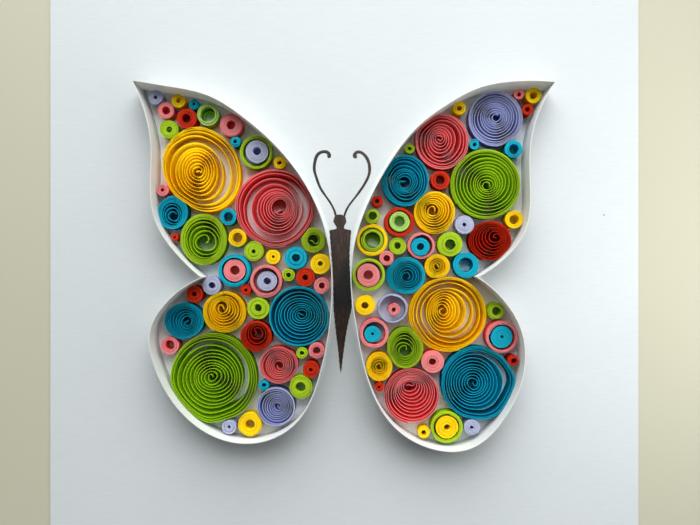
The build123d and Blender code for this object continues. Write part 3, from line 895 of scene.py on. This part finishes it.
def oval_of(row):
    """The middle of a turn and the oval that it makes round it.

    The turn is middle + (a cos θ + k sin θ, k cos θ + b sin θ), a and b half its
    widths and k its slant; returned are the middle and the matrix of a, b and k.
    """
    _, left, right, foot, head, slant = row
    middle = np.array([left + right, foot + head]) / 2
    return middle, np.array([[(right - left) / 2, slant], [slant, (head - foot) / 2]])


def oval_reach(shape, angle):
    """How far an oval reaches at each angle: 1 / |shape⁻¹ (cos, sin)|."""
    return 1.0 / np.linalg.norm(ray(angle) @ np.linalg.inv(shape), axis=1)


def room_around(node, angle):
    """How far a coil may reach at each angle from the middle of its outer turn.

    The least of the distances to the rim's inner face, to the straight line that
    touches each neighbouring roll, and to the line halfway into each loose neighbour.
    """
    clearance = 0.12
    boundless = 99.0
    close_by = 0.06         # the rim's points in this bearing either way are looked at
    least_facing = 0.35     # cosine of the angle at which a neighbour stops to count
    centre, shape = oval_of(loose[node][-1])
    side = node.split("_")[0]
    room = np.full(len(angle), boundless)
    for line in rim_lines[side]:
        offset = line - centre
        bearing = np.arctan2(offset[:, 1], offset[:, 0])
        apart = np.abs((bearing[None, :] - angle[:, None] + pi) % (2 * pi) - pi)
        at = np.where(apart < close_by, np.hypot(*offset.T)[None, :], boundless).min(axis=1)
        room = np.minimum(room, at - rim_thickness / 2 - clearance)
    neighbours = [
        (np.array([x, y]), np.eye(2) * radius, False)
        for name, rolls in tight.items() if side in name and "inner" not in name
        for x, y, radius, _ in rolls
    ] + [
        (*oval_of(rows[-1]), True)
        for name, rows in loose.items() if name != node and name.startswith(side)
    ]
    for place, theirs, is_loose in neighbours:
        gap = place - centre
        bearing = np.arctan2(gap[1], gap[0])
        reach = np.hypot(*gap) - oval_reach(theirs, np.array([bearing + pi]))[0]
        if is_loose:
            reach = (reach + oval_reach(shape, np.array([bearing]))[0]) / 2
        facing = np.cos(angle - bearing)
        there = (reach - clearance) / np.maximum(facing, least_facing)
        room = np.minimum(room, np.where(facing > least_facing, there, boundless))
    return room


def wound(node, phase):
    """A coil's turns before they settle: the path, and its turn, angle and pitch.

    path(t) = middle(t) + oval(t) (cos θ, sin θ) with θ = begin ± 2π t; the middle and
    the oval run smoothly through the coil's rows. Each turn is pushed a little in and
    out, by less than its distance to the next, and before the first turn the path
    follows the inner end.
    """
    sense, begin, turns, inner_end, _ = coils[node]
    knots, left, right, foot, head, slant = loose[node].T
    fine = np.linspace(-0.5, turns + 0.5, int((turns + 1) * 60))
    tracks = [
        smoothed(np.interp(fine, knots, values), 41)
        for values in (
            (left + right) / 2, (foot + head) / 2, (right - left) / 2, slant, (head - foot) / 2,
        )
    ]
    size = 0.5 * (tracks[2] + tracks[4])
    turn = turn_samples(turns, lambda at: np.interp(at, fine, size))
    x, y, xx, xy, yy = (np.interp(turn, fine, track) for track in tracks)
    pitch = np.interp(turn, fine, np.gradient(size, fine))
    angle = radians(begin) + sense * 2 * pi * turn
    push = 0.13 * np.clip(pitch - 0.23, 0.0, 1.0) * (
        np.sin(2 * angle + phase[0] + 0.9 * turn) + 0.6 * np.sin(3 * angle + phase[1] - 1.3 * turn)
    ) + 0.012 * np.sin(4 * angle + phase[2])
    cos, sin = ray(angle).T * (1.0 + push / np.maximum(0.5 * (xx + yy), 0.8))
    path = settled(node, np.column_stack([x + xx * cos + xy * sin, y + xy * cos + yy * sin]))
    if inner_end:
        entry = through([*inner_end, *path[0:6:2]], 0.12)
        joined = np.argmin(np.hypot(*(entry - path[0]).T))
        path = np.concatenate([entry[:joined], path])
        turn, angle, pitch = (
            np.pad(values, (joined, 0), mode="edge") for values in (turn, angle, pitch)
        )
    return path, turn, angle, pitch


def settled(node, path):
    """The path drawn in, more towards the outside, to the room around the coil."""
    middle, shape = oval_of(loose[node][-1])
    around = np.linspace(-pi, pi, 361)
    free = oval_reach(shape, around)
    pressed = np.minimum(1.0, (room_around(node, around) + 0.06) / free)
    pressed = smoothed(pressed[:-1], 35, "wrap")
    pressed = np.append(pressed, pressed[0])
    offset = path - middle
    bearing = np.arctan2(offset[:, 1], offset[:, 0])
    outwards = np.hypot(*offset.T) / np.interp(bearing, around, free)
    drawn_in = 1.0 - np.interp(bearing, around, pressed)
    return middle + offset * (1.0 - drawn_in * smooth_rise(0.45, 1.0, outwards))[:, None]


def splay(path, turn, sense):
    """How far a coil's foot stands in the gap to the turn inside.

    It stands in most of a narrow gap and in little of a wide one, on the coil's side
    away from the body, as the coils lie pushed over to their wing's edge.
    """
    inside = np.column_stack([np.interp(turn - 1.0, turn, track) for track in path.T])
    gap = np.hypot(*(path - inside).T)
    by = np.clip(0.9 * (gap - 0.22), 0.0, 1.1) * smooth_rise(0.7, 1.3, turn)
    by = by * (1.0 - 0.85 * smooth_rise(1.7, 2.5, gap))
    away = path / np.maximum(np.hypot(*path.T), 1.0)[:, None]
    facing = -sense * np.sum(sideways(path) * away, axis=1)
    return smoothed(by * smooth_rise(-0.7, 0.5, facing), 11)


def loose_coil(node, chance, raised):
    """A loose coil: turns that open out from its eye and settle against what is near.

    Its foot stands splayed and its upper edge lies where the turns were measured, a
    little higher and lower along the strip; `raised` is how far its eye stands up.
    """
    phase = chance.uniform(0.0, 2 * pi, 4)
    path, turn, angle, pitch = wound(node, phase)
    sense, _, turns, _, _ = coils[node]
    foot_in = sense * splay(path, turn, sense)
    lean = 0.06 * np.sin(2 * angle / 3 + phase[3]) * np.clip(pitch, 0.0, 1.0) - foot_in
    path = path + sideways(path) * foot_in[:, None]
    uneven = 0.09 * np.sin(1.7 * turn + phase[0]) + 0.05 * np.sin(angle * 0.5 + phase[1])
    lifted = raised * (1.0 - smooth_rise(0.0, 0.6, turn / turns))
    rise = np.maximum(0.0, uneven) + np.maximum(0.0, lifted)
    top = card_top + strip_height - edge_trim + uneven + lifted
    return standing_strip(path, loose_thickness, card_top + rise, top, lean)


raised_eyes = {
    "left_hind_large_green_coil": 0.9, "right_fore_lavender_coil": 0.5,
    "left_hind_lavender_coil": 0.4, "right_hind_large_pink_coil": 0.3,
}
for index, node in enumerate(loose):
    strip = loose_coil(node, np.random.default_rng(900 + index), raised_eyes.get(node, 0.0))
    hue = hue_of(node)
    put(f"wound_{node}", node, [strip], papers[hue])


# paint

left_antenna = [
    (-2.9, 16.2), (-4.1, 19.7), (-6.3, 23.2), (-8.5, 26.5), (-10.1, 30.6), (-10.7, 32.8),
    (-10.5, 36.1), (-9.3, 38.8), (-7.4, 39.6), (-5.75, 39.1), (-5.5, 38.0), (-6.0, 37.6),
]
right_antenna = [
    (-0.1, 16.4), (1.1, 19.5), (3.8, 23.2), (6.0, 26.2), (7.9, 29.3), (8.9, 32.0),
    (8.9, 34.7), (7.9, 37.5), (6.3, 39.1), (4.9, 39.5), (3.7, 38.6), (4.3, 37.3),
]
# The body from the head's crown to the tail: height on the card, left and right edge
body_rows = [
    (17.15, -2.2, -1.2), (17.0, -2.9, -0.5), (16.4, -3.5, 0.2), (15.4, -3.9, 0.65),
    (14.5, -3.9, 0.7), (13.6, -3.5, 0.3), (12.9, -2.9, -0.1), (12.4, -2.75, -0.2),
    (12.0, -3.1, 0.2), (11.75, -4.2, 1.4), (11.55, -5.35, 2.5), (11.0, -5.3, 2.4),
    (8.0, -5.1, 2.15), (3.9, -4.75, 1.85), (-1.0, -4.3, 1.9), (-7.0, -4.0, 2.2),
    (-13.0, -3.95, 2.6), (-16.4, -3.9, 2.65), (-20.5, -3.5, 1.6), (-26.2, -2.9, 0.5),
    (-31.6, -2.2, -0.25), (-36.5, -1.75, -0.85), (-39.2, -1.4, -1.15),
]


def paint_film(left, right, depth):
    """A film of paint on the card between two edges: a low dome carried along them.

    With u from −1 at one edge to 1 at the other, the film's top is the card plus
    depth (1/4 + 3/4 (1 − u⁴)); the underside lies just below its face and closes it.
    """
    u = np.linspace(-1.0, 1.0, 13)
    across = 0.5 * (left + right)[:, None] + 0.5 * (right - left)[:, None] * u[None, :, None]
    height = card_top + depth * (0.25 + 0.75 * (1.0 - u**4))
    top = np.dstack([across, np.broadcast_to(height, across.shape[:2])])
    under = top[:, ::-1].copy()
    under[:, :, 2] = card_top - 0.02
    ring = np.concatenate([top, under], axis=1)
    count, around = ring.shape[:2]
    pair = np.arange(around // 2 - 1)
    cap = np.stack([pair, pair + 1, around - 2 - pair, around - 1 - pair], axis=1)
    faces = np.concatenate([tube_faces(count, around), cap, (count - 1) * around + cap[:, ::-1]])
    return ring.reshape(-1, 3), faces, np.zeros((len(faces), 4, 2))


def body_film():
    """The body's rows, made dense along Y, with the brush's unsteady edge on both sides."""
    rows = np.array(body_rows)
    run = length_along(rows[:, [0, 2]])
    dense = np.linspace(0.0, run[-1], 520)
    y, left, right = (smoothed(np.interp(dense, run, column), 9) for column in rows.T)

    def unsteady(edge, start):
        shake = 0.05 * np.sin(dense * 3.1 + start) + 0.04 * np.sin(dense * 7.7 + 2 * start)
        return np.column_stack([edge + shake, y])

    return paint_film(unsteady(left, 0.4), unsteady(right, 2.2), paint_thickness)


def stroke_film(points):
    """An antenna: a brush line that widens towards its tip and ends in a knob."""
    root, end, knob = 0.72, 1.15, 1.5
    line = through(points, 0.25)
    run = np.linspace(0.0, 1.0, len(line))
    width = root + (end - root) * smooth_rise(0.1, 0.9, run)
    width = width + 0.07 * np.sin(31.0 * run) * np.sin(12.0 * run + 1.0)
    width = width + (knob - end) * smooth_rise(0.93, 0.98, run)
    width = width * (1.0 - 0.6 * smooth_rise(0.985, 1.0, run))
    half = sideways(line) * width[:, None] / 2
    return paint_film(line + half, line - half, paint_thickness * 0.8)


films = [body_film(), stroke_film(left_antenna), stroke_film(right_antenna)]
put("brushed_body", "painted_body", films, brushed_paint(), 60.0)


# card, table, light

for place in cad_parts["backing_card"].material_slots:
    place.material = card_finish()

table_reach = 1.5
table_top = -0.0001     # a hair below the card's back
table_corners = [
    (x * table_reach, y * table_reach, table_top)
    for x, y in ((-1, -1), (1, -1), (1, 1), (-1, 1))
]
table_mesh = bpy.data.meshes.new("table")
table_mesh.from_pydata(table_corners, [], [(0, 1, 2, 3)])
table_mesh.materials.append(table_finish())
table = bpy.data.objects.new("table", table_mesh)
bpy.context.scene.collection.objects.link(table)


def soft_lamp(name, place, size, watts):
    """A square lamp that faces the middle of the card."""
    data = bpy.data.lights.new(name, "AREA")
    data.shape = "SQUARE"
    data.size = size
    data.energy = watts
    data.color = (0.99, 1.0, 1.0)
    lamp = bpy.data.objects.new(name, data)
    lamp.location = place
    lamp.rotation_euler = (-Vector(place)).to_track_quat("-Z", "Y").to_euler()
    lamp.visible_camera = False
    bpy.context.scene.collection.objects.link(lamp)


soft_lamp("window", (0.01, 0.30, 0.23), 0.35, 1.34)
soft_lamp("skylight", (0.155, 0.0, 0.09), 0.12, 0.105)


def room_light():
    """The room: bright beyond the butterfly's head, dim beyond its tail and overhead.

    With d the direction looked in, the strength is f(d.z) g(d.y): f is 1 nearly up to
    the zenith and falls smoothly to a small part of that straight above; g grows evenly
    from the tail's side to the head's.
    """
    world = bpy.data.worlds.new("room")
    bpy.context.scene.world = world
    world.use_nodes = True
    nodes, links = world.node_tree.nodes, world.node_tree.links
    sky = nodes["Background"]
    sky.inputs["Color"].default_value = (0.96, 0.985, 1.0, 1.0)
    where = nodes.new("ShaderNodeTexCoord")
    parts = nodes.new("ShaderNodeSeparateXYZ")
    links.new(where.outputs["Generated"], parts.inputs[0])
    strength = nodes.new("ShaderNodeMath")
    strength.operation = "MULTIPLY"
    spans = (("Z", "SMOOTHSTEP", 0.88, 0.97, 1.0, 0.15), ("Y", "LINEAR", 0.1, 1.0, 0.08, 4.1))
    for index, (axis, rise, *values) in enumerate(spans):
        span = nodes.new("ShaderNodeMapRange")
        span.interpolation_type = rise
        for socket, value in zip(("From Min", "From Max", "To Min", "To Max"), values):
            span.inputs[socket].default_value = value
        links.new(parts.outputs[axis], span.inputs["Value"])
        links.new(span.outputs[0], strength.inputs[index])
    links.new(strength.outputs[0], sky.inputs["Strength"])


room_light()

bpy.context.scene.view_settings.view_transform = "Standard"
